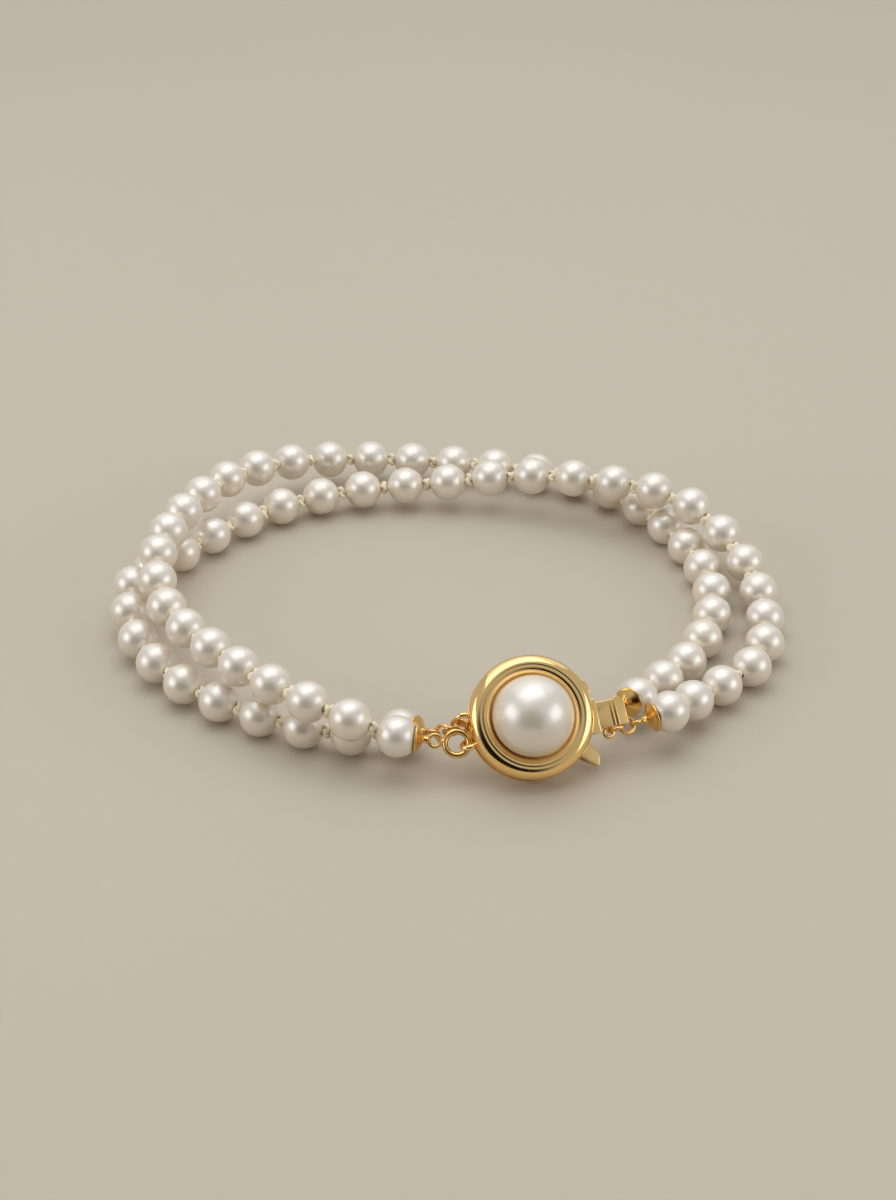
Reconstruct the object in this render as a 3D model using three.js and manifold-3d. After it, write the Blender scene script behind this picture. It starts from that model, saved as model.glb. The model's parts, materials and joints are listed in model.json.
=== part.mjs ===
// A two-strand bracelet of knotted round pearls on a round gold box clasp, lying on a flat surface.
// Millimetres, +Z up. The origin is on the surface, under the middle of the whole bracelet.
import * as THREE from "three";
import { mergeVertices } from "three/addons/utils/BufferGeometryUtils.js";
import Module from "manifold-3d";

const wasm = await Module();
wasm.setup();

// Pearls, and the silk knots between them
const pearlDiameter = 4.5;
const knotLength = 0.6; // the least silk that shows between two pearls
const knotDiameter = 0.95;
const pearlSides = 10;
const pearlLatitudes = [-58, -30, 0, 30, 58]; // degrees, the rings of corners on each pearl

// Rolled rim of the clasp, and the setting inside it
const caseDiameter = 13.05; // over the rolled rim
const rimRollDiameter = 1.8;
const innerRollDiameter = 0.72;
const innerRollRise = 0.35; // the inner roll's middle lies this far in front of the rim roll's
const lipWidth = 0.12; // the thin wall that holds the half pearl
const lipHeight = 0.55; // over the floor of the setting
const grooveWidth = 0.06; // between the lip and the inner roll
const seatClearance = 0.1;

// Half pearl
const mabeDiameter = 8.5;
const mabeBand = 0.85; // its straight foot
const mabeEdge = 0.12; // the broken edge of that foot
const mabeDome = 4.25; // its dome over that foot

// Box under the rim, hollow for the tongue
const backDiameter = 13.0;
const backThickness = 0.5;
const backEdge = 0.12; // its broken edges
const drumDiameter = 12.1;
const drumWall = 0.7;
const hollowHeight = 1.5;
const seatThickness = 0.45; // the floor that the half pearl sits on
const rimRise = 0.15; // from that floor up to the middle of the rim roll

// Tongue, the mouth that it slides into, and its two small lugs
const tongueWidth = 2.8;
const tongueThickness = 0.85;
const tongueReach = 3.5; // how far it shows past the rim
const tongueDepth = 3.9; // how far it goes in past the rim
const tongueOffset = -1.2; // its middle line lies this far from the middle of the case
const tongueCorner = 0.6; // the corner cut off its end
const tongueLift = 0.25; // over the floor of the hollow
const ridgeFromEnd = 1.25;
const ridgeWidth = 0.18;
const ridgeHeight = 0.14;
const slideClearance = 0.1;
const mouthWall = 0.3;
const mouthReach = 0.42; // how far the mouth stands out past the rim
const tongueLugDiameter = 1.3;
const tongueLugWire = 0.32;
const tongueLugFromEnd = 2.2;

// Lugs on the side of the case
const caseLugDiameter = 2.05;
const caseLugWire = 0.55;
const caseLugSpacing = 2.6;
const caseLugStandOff = 0.43; // from the edge of the case out to the middle of a lug
const caseLugTurn = 58; // degrees, the lugs are turned out of the plane of the case
const solder = 0.12; // how deep soldered pieces run into each other

// Bead cups, their loops and the links
const cupDiameter = 3.0;
const cupClearance = 0.12;
const cupWall = 0.24;
const cupNeckDiameter = 0.8;
const cupLength = 0.85; // from the back of the bowl to the end of the neck
const loopDiameter = 1.64;
const loopWire = 0.28;
const linkDiameter = 2.0;
const linkWire = 0.32;
const largeRingDiameter = 3.1;
const largeRingWire = 0.5;
const solderBallDiameter = 0.62;
const ringPlay = 0.12; // between two rings that hang in each other

// Safety lever and its rivet
const leverThickness = 0.6;
const leverClearance = 0.18; // to the back plate and to the rivet's head
const leverWidth = 2.3;
const leverPivot = { turn: -22, inset: 1.5 }; // degrees from the tongue's direction, inset from the rim
const leverFin = 2.3; // how far the thumb fin shows past the rim
const leverTab = 1.14; // how far the stop tab shows past the rim
const rivetDiameter = 0.8;
const rivetClearance = 0.09;
const rivetHeadDiameter = 1.6;
const rivetHeadThickness = 0.22;

// Corners of the lever: a turn in degrees from the tongue's direction, and a share of the fin's or tab's own
// reach
const finCorners = {
  heel: { turn: -49, share: 0.25 },
  tip: { turn: -45.5, share: 1 },
  sweep: { turn: -36, share: 1 },
};
const finRoot = -31;
const tabRoot = 11;
const tabCorners = {
  start: { turn: 12, share: 0.67 },
  crown: { turn: 21, share: 1 },
  end: { turn: 26, share: 0.5 },
};
const leverEnd = { side: 28, round: 27, inside: 20 }; // turns of the tab end's corners

// How the clasp lies: its back leans on the surface and its face looks up and out
const claspPlace = { x: 1.865, y: -7.035 }; // the back plate's middle, in pearl diameters
const claspFaceRise = 41; // degrees that its face looks up
const claspTurn = 9;
const claspSpin = 7.5;

// How each end hangs from its lug towards its first pearl: its heading, and its rise at the lug and the pearl
const leftEndA = { heading: 175.6, riseAtLug: 5.2, rise: 5.2 };
const leftEndB = { heading: 154, riseAtLug: -60, rise: -12 };
const rightEndA = { heading: 54.3, riseAtLug: -13.9, rise: -13.9 };
const rightEndB = { heading: 24.6, riseAtLug: 3.8, rise: 3.8 };
const leftLinksB = 3;
const rightLinks = 2;

// Routes of the two strings of pearls between their end pearls, in pearl diameters from the loop's middle.
// A height of 0.5 lies on the surface.
const strandRoutes = {
  a: [
    [-2.35, -7.42, 1.4], [-3.32, -6.84, 1.5], [-5.0, -5.3, 1.46], [-6.95, -2.5, 1.36], [-7.35, -0.25, 1.56],
    [-6.5, 3.05, 1.4], [-5.2, 4.9, 1.16], [-3.3, 6.1, 0.78], [0.1, 6.23, 0.59], [3.43, 5.44, 0.55],
    [5.17, 3.97, 0.5], [6.58, 0.86, 0.5], [6.67, -1.4, 0.5], [5.91, -3.54, 0.5],
  ],
  b: [
    [6.06, -5.33, 0.6], [7.57, -3.62, 0.5], [7.96, -1.4, 0.5], [7.57, 0.84, 0.81], [6.2, 2.6, 1.44],
    [4.2, 3.75, 1.38], [2.07, 4.52, 1.14], [-0.3, 4.8, 0.75], [-2.5, 4.68, 0.59], [-4.58, 3.93, 0.5],
    [-6.99, 1.51, 0.5], [-8.01, -0.49, 0.77], [-7.7, -2.73, 0.6], [-6.46, -4.63, 0.54], [-4.6, -5.95, 0.5],
    [-2.5, -6.78, 0.5],
  ],
};

// Fineness of the round shapes
const caseSides = 36;
const domeSteps = 6;
const rollSides = 14;
const innerRollSides = 8;
const ringSides = 12;
const wireSides = 5;
const cupSides = 12;
const bowlSteps = 3;
const ballSides = 8;
const ballRings = 6;
const leverSteps = 8;
const cutMargin = 1; // how far a cutting shape runs past what it cuts
const routeSamples = 2000;

// Sizes that follow
const pearlRadius = pearlDiameter / 2;
const caseRadius = caseDiameter / 2;
const rimRollRadius = rimRollDiameter / 2;
const mabeRadius = mabeDiameter / 2;
const seatHeight = backThickness + hollowHeight + seatThickness;
const rimHeight = seatHeight + rimRise;
const tongueBase = backThickness + tongueLift;
const tongueEnd = caseRadius + tongueReach;
const bowlRadius = pearlRadius + cupClearance;
const cupEnd = bowlRadius + cupLength;
const caseLugRadius = Math.max(caseDiameter, backDiameter, drumDiameter) / 2 + caseLugStandOff;
const loopPlace = cupEnd + loopDiameter / 2 - solder;

const gold = new THREE.MeshStandardMaterial({ color: 0xd9a441, roughness: 0.2, metalness: 1 });
const nacre = new THREE.MeshStandardMaterial({ color: 0xf1ece4, roughness: 0.25, metalness: 0 });
const halfPearlNacre = new THREE.MeshStandardMaterial({ color: 0xf0ece8, roughness: 0.22, metalness: 0 });

const degrees = THREE.MathUtils.degToRad;
const up = new THREE.Vector3(0, 0, 1);

function namedMesh(name, geometry, material) {
  const mesh = new THREE.Mesh(geometry, material);
  mesh.name = name;
  return mesh;
}

// A closed geometry as a solid that can be joined and cut
function toSolid(geometry) {
  const plain = geometry.clone();
  plain.deleteAttribute("normal");
  plain.deleteAttribute("uv");
  const merged = mergeVertices(plain, 1e-4);
  const corners = merged.index.array;
  const triangles = [];
  for (let i = 0; i < corners.length; i += 3) {
    const [a, b, c] = [corners[i], corners[i + 1], corners[i + 2]];
    if (a !== b && b !== c && c !== a) triangles.push(a, b, c);
  }
  const vertProperties = new Float32Array(merged.attributes.position.array);
  const mesh = new wasm.Mesh({ numProp: 3, vertProperties, triVerts: new Uint32Array(triangles) });
  return new wasm.Manifold(mesh);
}

function toGeometry(solid) {
  const mesh = solid.getMesh();
  const geometry = new THREE.BufferGeometry();
  geometry.setAttribute("position", new THREE.BufferAttribute(new Float32Array(mesh.vertProperties), 3));
  geometry.setIndex(new THREE.BufferAttribute(new Uint32Array(mesh.triVerts), 1));
  geometry.computeVertexNormals();
  return geometry;
}

function joined(geometries) {
  return geometries.map(toSolid).reduce((whole, piece) => whole.add(piece));
}

// A profile of [radius, height] points turned round the Z axis
function turned(profile, sides) {
  const points = profile.map(([radius, height]) => new THREE.Vector2(radius, height));
  return new THREE.LatheGeometry(points, sides).rotateX(Math.PI / 2);
}

// Points of an arc in a profile, from one angle to the other, in radians
function arc(center, radius, from, to, steps) {
  return Array.from({ length: steps + 1 }, (_, i) => {
    const angle = from + ((to - from) * i) / steps;
    return [center[0] + radius * Math.cos(angle), center[1] + radius * Math.sin(angle)];
  });
}

function ring(diameter, wire) {
  return new THREE.TorusGeometry((diameter - wire) / 2, wire / 2, wireSides, ringSides);
}

function block(lengthX, lengthY, lengthZ, x, y, z) {
  return new THREE.BoxGeometry(lengthX, lengthY, lengthZ).translate(x, y, z);
}

function disc(diameter, height, x, y, z, sides) {
  const radius = diameter / 2;
  const upright = new THREE.CylinderGeometry(radius, radius, height, sides).rotateX(Math.PI / 2);
  return upright.translate(x, y, z + height / 2);
}

// The round body of the case: back plate and drum, rolled rim, inner roll, and the lip round the setting
function caseBody() {
  const backRadius = backDiameter / 2;
  const drumRadius = drumDiameter / 2;
  const lipInside = mabeRadius + seatClearance;
  const grooveInside = lipInside + lipWidth;
  const grooveOutside = grooveInside + grooveWidth;
  const lipTop = seatHeight + lipHeight;
  const grooveFloor = lipTop - lipWidth;
  const innerRollMiddle = [grooveOutside + innerRollDiameter / 2, rimHeight + innerRollRise];
  const box = [
    [0, 0],
    [backRadius - backEdge, 0],
    [backRadius, backEdge],
    [backRadius, backThickness - backEdge],
    [backRadius - backEdge, backThickness],
    [drumRadius, backThickness],
    [drumRadius, rimHeight],
    innerRollMiddle,
    [0, innerRollMiddle[1]],
  ];
  const rim = roll([caseRadius - rimRollRadius, rimHeight], rimRollDiameter, rollSides);
  const innerRoll = roll(innerRollMiddle, innerRollDiameter, innerRollSides);
  const setting = disc(2 * grooveOutside, rimHeight + rimRollDiameter, 0, 0, seatHeight, caseSides);
  const lip = [
    [lipInside, seatHeight - solder],
    [grooveOutside + solder, seatHeight - solder],
    [grooveOutside + solder, grooveFloor],
    [grooveInside, grooveFloor],
    [grooveInside, lipTop],
    [lipInside, lipTop],
    [lipInside, seatHeight - solder],
  ];
  const body = joined([turned(box, caseSides), rim, innerRoll]);
  return body.subtract(toSolid(setting)).add(toSolid(turned(lip, caseSides)));
}

// A roll of wire round the case
function roll(middle, diameter, sides) {
  return turned(arc(middle, diameter / 2, 0, 2 * Math.PI, sides), caseSides);
}

// A point on the back of the case, at an angle from the tongue's direction and a distance from the middle
function onBack(turn, radius) {
  return new THREE.Vector2(radius * Math.cos(degrees(turn)), radius * Math.sin(degrees(turn)));
}

function makeCase() {
  const pivot = onBack(leverPivot.turn, caseRadius - leverPivot.inset);
  const pinLength = leverThickness + 2 * leverClearance;
  const mouthHeight = tongueThickness + 2 * (slideClearance + mouthWall);
  const mouthWidth = tongueWidth + 2 * (slideClearance + mouthWall);
  const mouthEnd = caseRadius + mouthReach;
  const mouthLength = mouthEnd - drumDiameter / 4;
  const tongueMiddle = tongueBase + tongueThickness / 2;
  const pieces = [
    block(mouthLength, mouthWidth, mouthHeight, mouthEnd - mouthLength / 2, tongueOffset, tongueMiddle),
    disc(rivetDiameter, pinLength + solder, pivot.x, pivot.y, -pinLength, ringSides),
    disc(rivetHeadDiameter, rivetHeadThickness, pivot.x, pivot.y, -pinLength - rivetHeadThickness, ringSides),
  ];
  const lugs = caseLugPlaces();
  const fan = Math.asin(caseLugSpacing / 2 / caseLugRadius);
  const footEnd = (caseLugDiameter - caseLugWire) / 2;
  const footLength = caseLugRadius - footEnd - drumDiameter / 2 + solder;
  for (const [place, side] of [[lugs.lower, -1], [lugs.upper, 1]]) {
    const lug = ring(caseLugDiameter, caseLugWire).rotateX(side * degrees(caseLugTurn));
    const foot = disc(caseLugWire, footLength, 0, 0, footEnd, wireSides).rotateY(Math.PI / 2);
    for (const piece of [lug, foot]) pieces.push(piece.rotateZ(-side * fan).translate(...place.toArray()));
  }
  const hollow = disc(drumDiameter - 2 * drumWall, hollowHeight, 0, 0, backThickness, caseSides);
  const slotHeight = tongueThickness + 2 * slideClearance;
  const slotWidth = tongueWidth + 2 * slideClearance;
  const slotLength = mouthEnd + cutMargin;
  const slot = block(slotLength, slotWidth, slotHeight, slotLength / 2, tongueOffset, tongueMiddle);
  const solid = caseBody().add(joined(pieces)).subtract(toSolid(hollow)).subtract(toSolid(slot));
  return namedMesh("case", toGeometry(solid), gold);
}

function makeMabePearl() {
  const foot = seatHeight + seatClearance;
  const dome = Array.from({ length: domeSteps }, (_, i) => {
    const angle = ((Math.PI / 2) * i) / domeSteps;
    return [mabeRadius * Math.cos(angle), foot + mabeBand + mabeDome * Math.sin(angle)];
  });
  const crown = foot + mabeBand + mabeDome;
  const band = [[0, foot], [mabeRadius - mabeEdge, foot], [mabeRadius, foot + mabeEdge]];
  return namedMesh("mabe_pearl", turned([...band, ...dome, [0, crown]], caseSides), halfPearlNacre);
}

function makeTongue() {
  const half = tongueWidth / 2;
  const start = caseRadius - tongueDepth;
  const outline = new THREE.Shape([
    new THREE.Vector2(start, tongueOffset - half),
    new THREE.Vector2(tongueEnd, tongueOffset - half),
    new THREE.Vector2(tongueEnd, tongueOffset + half - tongueCorner),
    new THREE.Vector2(tongueEnd - tongueCorner, tongueOffset + half),
    new THREE.Vector2(start, tongueOffset + half),
  ]);
  const strip = new THREE.ExtrudeGeometry(outline, { depth: tongueThickness, bevelEnabled: false });
  const top = tongueBase + tongueThickness;
  const ridgePlace = tongueEnd - ridgeFromEnd;
  const barHeight = ridgeHeight + solder;
  const bars = [-1, 1].map((side) => {
    const x = ridgePlace + side * ridgeWidth;
    return block(ridgeWidth, tongueWidth, barHeight, x, tongueOffset, top + ridgeHeight - barHeight / 2);
  });
  const lugs = tongueLugPlaces();
  const edgeLug = ring(tongueLugDiameter, tongueLugWire).translate(...lugs.edge.toArray());
  const uprightLug = ring(tongueLugDiameter, tongueLugWire).rotateX(Math.PI / 2);
  const underLug = uprightLug.translate(...lugs.under.toArray());
  const solid = joined([strip.translate(0, 0, tongueBase), ...bars, edgeLug, underLug]);
  return namedMesh("tongue", toGeometry(solid), gold);
}

// Middles of the tongue's lugs: one under its lower edge, one behind it
function tongueLugPlaces() {
  const reach = tongueLugDiameter / 2 - solder;
  const x = tongueEnd - tongueLugFromEnd;
  const edgeHeight = tongueBase + tongueLugWire / 2;
  return {
    edge: new THREE.Vector3(x, tongueOffset - tongueWidth / 2 - reach, edgeHeight),
    under: new THREE.Vector3(x, tongueOffset, tongueBase - reach),
  };
}

// Middles of the lugs on the side of the case
function caseLugPlaces() {
  const x = -Math.sqrt(caseLugRadius ** 2 - (caseLugSpacing / 2) ** 2);
  return {
    lower: new THREE.Vector3(x, -caseLugSpacing / 2, rimHeight / 2),
    upper: new THREE.Vector3(x, caseLugSpacing / 2, rimHeight / 2),
  };
}

// A flat crescent behind the rim, with a thumb fin at one end and a stop tab at the other
function makeSafetyLever() {
  const outer = caseRadius - leverClearance;
  const inner = outer - leverWidth;
  const at = (turn, radius) => onBack(turn, radius).toArray();
  const onFin = ({ turn, share }) => at(turn, caseRadius + share * leverFin);
  const onTab = ({ turn, share }) => at(turn, caseRadius + share * leverTab);
  const outline = new THREE.Shape();
  outline.moveTo(...at(finCorners.heel.turn, inner));
  outline.lineTo(...onFin(finCorners.heel));
  outline.lineTo(...onFin(finCorners.tip));
  outline.quadraticCurveTo(...onFin(finCorners.sweep), ...at(finRoot, outer));
  outline.absarc(0, 0, outer, degrees(finRoot), degrees(tabRoot), false);
  outline.lineTo(...onTab(tabCorners.start));
  outline.quadraticCurveTo(...onTab(tabCorners.crown), ...onTab(tabCorners.end));
  outline.lineTo(...at(leverEnd.side, (inner + outer) / 2));
  outline.quadraticCurveTo(...at(leverEnd.round, inner), ...at(leverEnd.inside, inner));
  outline.absarc(0, 0, inner, degrees(leverEnd.inside), degrees(finCorners.heel.turn), true);
  const pivot = onBack(leverPivot.turn, caseRadius - leverPivot.inset);
  const hole = new THREE.Path();
  hole.absarc(pivot.x, pivot.y, rivetDiameter / 2 + rivetClearance, 0, 2 * Math.PI, true);
  outline.holes.push(hole);
  const options = { depth: leverThickness, bevelEnabled: false, curveSegments: leverSteps };
  const plate = new THREE.ExtrudeGeometry(outline, options);
  return namedMesh("safety_lever", plate.translate(0, 0, -leverClearance - leverThickness), gold);
}

// The clasp lies on the lowest point of its back plate
function makeClasp() {
  const spun = new THREE.Group();
  spun.rotation.z = degrees(claspSpin);
  spun.add(makeCase(), makeMabePearl(), makeTongue(), makeSafetyLever());
  const leaned = new THREE.Group();
  leaned.rotation.x = degrees(90 - claspFaceRise);
  leaned.add(spun);
  const clasp = new THREE.Group();
  clasp.rotation.z = degrees(claspTurn);
  const height = (backDiameter / 2) * Math.cos(degrees(claspFaceRise));
  clasp.position.set(claspPlace.x * pearlDiameter, claspPlace.y * pearlDiameter, height);
  clasp.add(leaned);
  clasp.updateMatrixWorld(true);
  return { clasp, frame: spun };
}

// Direction of a hanging end, from the lug, at share 0, to the pearl, at share 1
function direction(end, share) {
  const rise = degrees(THREE.MathUtils.lerp(end.riseAtLug, end.rise, share));
  return new THREE.Vector3(Math.cos(rise), 0, Math.sin(rise)).applyAxisAngle(up, degrees(end.heading));
}

// Turns a mesh so that its X axis runs along a direction and its Z axis faces as near another as it can
function orient(mesh, place, along, facing) {
  const z = facing.clone().addScaledVector(along, -facing.dot(along)).normalize();
  const y = new THREE.Vector3().crossVectors(z, along);
  mesh.quaternion.setFromRotationMatrix(new THREE.Matrix4().makeBasis(along, y, z));
  mesh.position.copy(place);
  return mesh;
}

// Distance between the middles of two rings that hang in each other
function ringStep(diameterA, wireA, diameterB, wireB) {
  return (diameterA + diameterB) / 2 - wireA - wireB - ringPlay;
}

// A bead cup with its loop. The pearl's middle is at the origin, and the loop lies towards -X
function cupSolid() {
  const rimRadius = cupDiameter / 2;
  const rimAngle = Math.asin(rimRadius / bowlRadius);
  const bowl = Array.from({ length: bowlSteps + 1 }, (_, i) => {
    const angle = (rimAngle * i) / bowlSteps;
    return [bowlRadius * Math.sin(angle), bowlRadius * Math.cos(angle)];
  });
  const rimHeightOverPearl = bowlRadius * Math.cos(rimAngle);
  const neckRadius = cupNeckDiameter / 2;
  const profile = [
    ...bowl,
    [rimRadius + cupWall / 2, rimHeightOverPearl + cupWall / 2],
    [rimRadius, rimHeightOverPearl + cupWall],
    [(rimRadius + neckRadius) / 2, bowlRadius + cupWall],
    [neckRadius, bowlRadius + cupLength / 2],
    [neckRadius, cupEnd],
    [0, cupEnd],
  ];
  const cup = turned(profile, cupSides).rotateY(-Math.PI / 2);
  return joined([cup, ring(loopDiameter, loopWire).translate(-loopPlace, 0, 0)]);
}

// The left cup of strand a has a large ring soldered on beyond its loop
function cupWithLargeRing() {
  const ballPlace = loopPlace + loopDiameter / 2;
  const ball = new THREE.SphereGeometry(solderBallDiameter / 2, ballSides, ballRings);
  const large = ring(largeRingDiameter, largeRingWire).translate(-largeRingPlace(), 0, 0);
  return cupSolid().add(toSolid(ball.translate(-ballPlace, 0, 0))).add(toSolid(large));
}

function largeRingPlace() {
  return loopPlace + (loopDiameter + largeRingDiameter) / 2 - solder;
}

// Links and a cup from a lug out to the end pearl of a strand. Each ring is turned a quarter from the last.
function hangEnd(name, lug, end, facing, linkCount) {
  const meshes = [];
  const place = lug.place.clone();
  const faces = [facing, new THREE.Vector3().crossVectors(direction(end, 1), facing)];
  let last = lug;
  for (let i = 0; i < linkCount; i += 1) {
    const along = direction(end, i / linkCount);
    place.addScaledVector(along, ringStep(last.diameter, last.wire, linkDiameter, linkWire));
    const link = namedMesh(`link_${name}_${i + 1}`, ring(linkDiameter, linkWire), gold);
    meshes.push(orient(link, place, along, faces[i % 2]));
    last = { diameter: linkDiameter, wire: linkWire };
  }
  const along = direction(end, 1);
  place.addScaledVector(along, ringStep(last.diameter, last.wire, loopDiameter, loopWire) + loopPlace);
  const cup = namedMesh(`end_cup_${name}`, toGeometry(cupSolid()), gold);
  meshes.push(orient(cup, place, along, faces[linkCount % 2]));
  return { meshes, pearl: place };
}

function hangLargeRing(name, lug, end, facing) {
  const along = direction(end, 1);
  const step = ringStep(lug.diameter, lug.wire, largeRingDiameter, largeRingWire) + largeRingPlace();
  const pearl = lug.place.clone().addScaledVector(along, step);
  const cup = namedMesh(`end_cup_${name}`, toGeometry(cupWithLargeRing()), gold);
  return { meshes: [orient(cup, pearl, along, facing)], pearl };
}

function makeEnds(frame) {
  const lugs = { ...caseLugPlaces(), ...tongueLugPlaces() };
  const caseLug = { diameter: caseLugDiameter, wire: caseLugWire };
  const tongueLug = { diameter: tongueLugDiameter, wire: tongueLugWire };
  const at = (lug, place) => ({ ...lug, place: frame.localToWorld(place.clone()) });
  const axis = (x, y, z) => new THREE.Vector3(x, y, z).transformDirection(frame.matrixWorld);
  return {
    leftA: hangLargeRing("a_left", at(caseLug, lugs.lower), leftEndA, axis(0, 0, 1)),
    leftB: hangEnd("b_left", at(caseLug, lugs.upper), leftEndB, axis(0, 0, 1), leftLinksB),
    rightA: hangEnd("a_right", at(tongueLug, lugs.under), rightEndA, axis(1, 0, 1), rightLinks),
    rightB: hangEnd("b_right", at(tongueLug, lugs.edge), rightEndB, axis(0, 1, 0), rightLinks),
  };
}

// Smooth route from one end pearl to the other, through the chosen points
function strandRoute(first, points, last) {
  const between = points.map((point) => new THREE.Vector3(...point).multiplyScalar(pearlDiameter));
  const route = new THREE.CatmullRomCurve3([first, ...between, last]);
  route.arcLengthDivisions = routeSamples;
  return route;
}

// A string of pearls with knots between them: turned straight, then each pearl's rings are set on the route
function makeStrand(name, route) {
  const length = route.getLength();
  const count = Math.floor(length / (pearlDiameter + knotLength)) + 1;
  const pitch = length / (count - 1);
  const knotLatitude = Math.acos(knotDiameter / pearlDiameter);
  const latitudes = [-knotLatitude, ...pearlLatitudes.map(degrees), knotLatitude];
  const profile = [{ radius: 0, offset: -pearlRadius, station: 0 }];
  for (let station = 0; station < count; station += 1) {
    for (const latitude of latitudes) {
      const radius = pearlRadius * Math.cos(latitude);
      profile.push({ radius, offset: pearlRadius * Math.sin(latitude), station });
    }
  }
  profile.push({ radius: 0, offset: pearlRadius, station: count - 1 });
  const points = profile.map(({ radius, offset, station }) => {
    return new THREE.Vector2(radius, station * pitch + offset);
  });
  const geometry = new THREE.LatheGeometry(points, pearlSides);
  const frames = profile.map(({ station }) => strandFrame(route, station / (count - 1)));
  const corner = new THREE.Vector3();
  const position = geometry.attributes.position;
  for (let k = 0; k < position.count; k += 1) {
    const j = k % profile.length;
    corner.fromBufferAttribute(position, k).setY(profile[j].offset).applyMatrix4(frames[j]);
    position.setXYZ(k, corner.x, corner.y, corner.z);
  }
  geometry.computeVertexNormals();
  return namedMesh(name, geometry, nacre);
}

// Place and turn of a pearl on the route. No pearl sinks into the surface.
function strandFrame(route, share) {
  const middle = route.getPointAt(share);
  middle.z = Math.max(middle.z, pearlRadius);
  const along = route.getTangentAt(share);
  const side = new THREE.Vector3().crossVectors(along, up).normalize();
  const top = new THREE.Vector3().crossVectors(side, along);
  return new THREE.Matrix4().makeBasis(side, along, top).setPosition(middle);
}

function makeBracelet() {
  const { clasp, frame } = makeClasp();
  const ends = makeEnds(frame);
  const bracelet = new THREE.Group();
  bracelet.add(clasp);
  for (const end of Object.values(ends)) bracelet.add(...end.meshes);
  const routeA = strandRoute(ends.leftA.pearl, strandRoutes.a, ends.rightA.pearl);
  const routeB = strandRoute(ends.rightB.pearl, strandRoutes.b, ends.leftB.pearl);
  bracelet.add(makeStrand("strand_a", routeA), makeStrand("strand_b", routeB));
  const box = new THREE.Box3().setFromObject(bracelet, true);
  const middle = box.getCenter(new THREE.Vector3());
  bracelet.position.set(-middle.x, -middle.y, -box.min.z);
  return bracelet;
}

const bracelet = makeBracelet();
export default bracelet;
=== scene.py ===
# Two strands of knotted pearls on a round gold box clasp, lying on a pale floor.
# Pieces are modelled in millimetres and set in the frame, which is in metres.
import json
import math
import random

import bmesh
import bpy
import numpy as np
from mathutils import Matrix, Quaternion, Vector


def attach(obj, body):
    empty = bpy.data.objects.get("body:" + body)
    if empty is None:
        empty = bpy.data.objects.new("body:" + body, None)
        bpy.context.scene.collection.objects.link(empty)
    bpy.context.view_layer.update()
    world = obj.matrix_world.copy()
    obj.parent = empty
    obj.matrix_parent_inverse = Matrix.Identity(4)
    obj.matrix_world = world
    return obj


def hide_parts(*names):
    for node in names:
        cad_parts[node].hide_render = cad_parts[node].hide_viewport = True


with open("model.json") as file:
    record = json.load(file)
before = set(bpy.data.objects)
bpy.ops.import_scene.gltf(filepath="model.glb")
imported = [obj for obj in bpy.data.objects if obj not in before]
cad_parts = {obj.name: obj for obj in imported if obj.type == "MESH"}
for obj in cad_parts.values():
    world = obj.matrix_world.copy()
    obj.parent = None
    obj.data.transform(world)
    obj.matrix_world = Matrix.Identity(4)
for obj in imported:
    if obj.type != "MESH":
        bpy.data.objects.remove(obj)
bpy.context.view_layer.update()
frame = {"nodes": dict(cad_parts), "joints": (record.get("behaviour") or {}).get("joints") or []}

mm = 0.001
scene = bpy.context.scene
turn = 2 * math.pi
print("frame loaded:", len(frame["nodes"]), "nodes")


# Camera at the photograph's angle
photoView = {
    "aim": (0.00012, 0.00386, 0.0),
    "distance": 0.29304,
    "elevation": 31.9,
    "lens": 75.75,
    "sensor": 36,
    "nearest": 0.01,
}


def placeCamera():
    rise = math.radians(photoView["elevation"])
    back = Vector((0, -math.cos(rise), math.sin(rise)))
    cam = bpy.data.objects.new("camera", bpy.data.cameras.new("camera"))
    scene.collection.objects.link(cam)
    cam.location = Vector(photoView["aim"]) + back * photoView["distance"]
    cam.rotation_euler = (math.pi / 2 - rise, 0, 0)
    cam.data.lens = photoView["lens"]
    cam.data.sensor_width = photoView["sensor"]
    cam.data.clip_start = photoView["nearest"]
    scene.camera = cam


placeCamera()
print("camera placed")


# Floor and soft studio light
studio = {
    "floorColor": (0.60, 0.525, 0.42, 1),
    "floorSize": 6.0,
    "floorRoughness": 0.85,
    "floorClouds": 9,
    "floorCloudShade": 0.95,
    "floorGrain": 2600,
    "floorGrainHeight": 2e-5,
    "room": (0.95, 0.98, 1.0),  # colour of the room round the table
    "roomStrength": 0.51,
    "darkColor": (0.02, 0.012, 0.005),  # the dark side that the camera stands in
    "darkToward": (-0.13, -0.945, 0.30),
    "darkFrom": 0.74,  # cosines of the angles where the dark begins and is full
    "darkFull": 0.93,
    "top": {"at": (-0.03, 0.056, 0.42), "size": (0.46, 0.34), "power": 0.68, "color": (0.96, 0.985, 1.0)},
    "back": {"at": (0.0, 0.75, 0.85), "size": (1.8, 1.0), "power": 2.7, "color": (0.97, 0.99, 1.0)},
    "left": {"at": (-0.45, -0.15, 0.18), "size": (0.35, 0.26), "power": 0.46, "color": (1.0, 0.99, 0.97)},
    "right": {"at": (0.45, -0.17, 0.17), "size": (0.35, 0.26), "power": 0.46, "color": (1.0, 0.99, 0.97)},
}


def addSoftbox(name):
    box = studio[name]
    light = bpy.data.lights.new(name, "AREA")
    light.shape = "RECTANGLE"
    light.size, light.size_y = box["size"]
    light.energy = box["power"]
    light.color = box["color"]
    obj = bpy.data.objects.new(name, light)
    scene.collection.objects.link(obj)
    obj.location = box["at"]
    obj.rotation_euler = Vector(box["at"]).to_track_quat("Z", "Y").to_euler()


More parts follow.
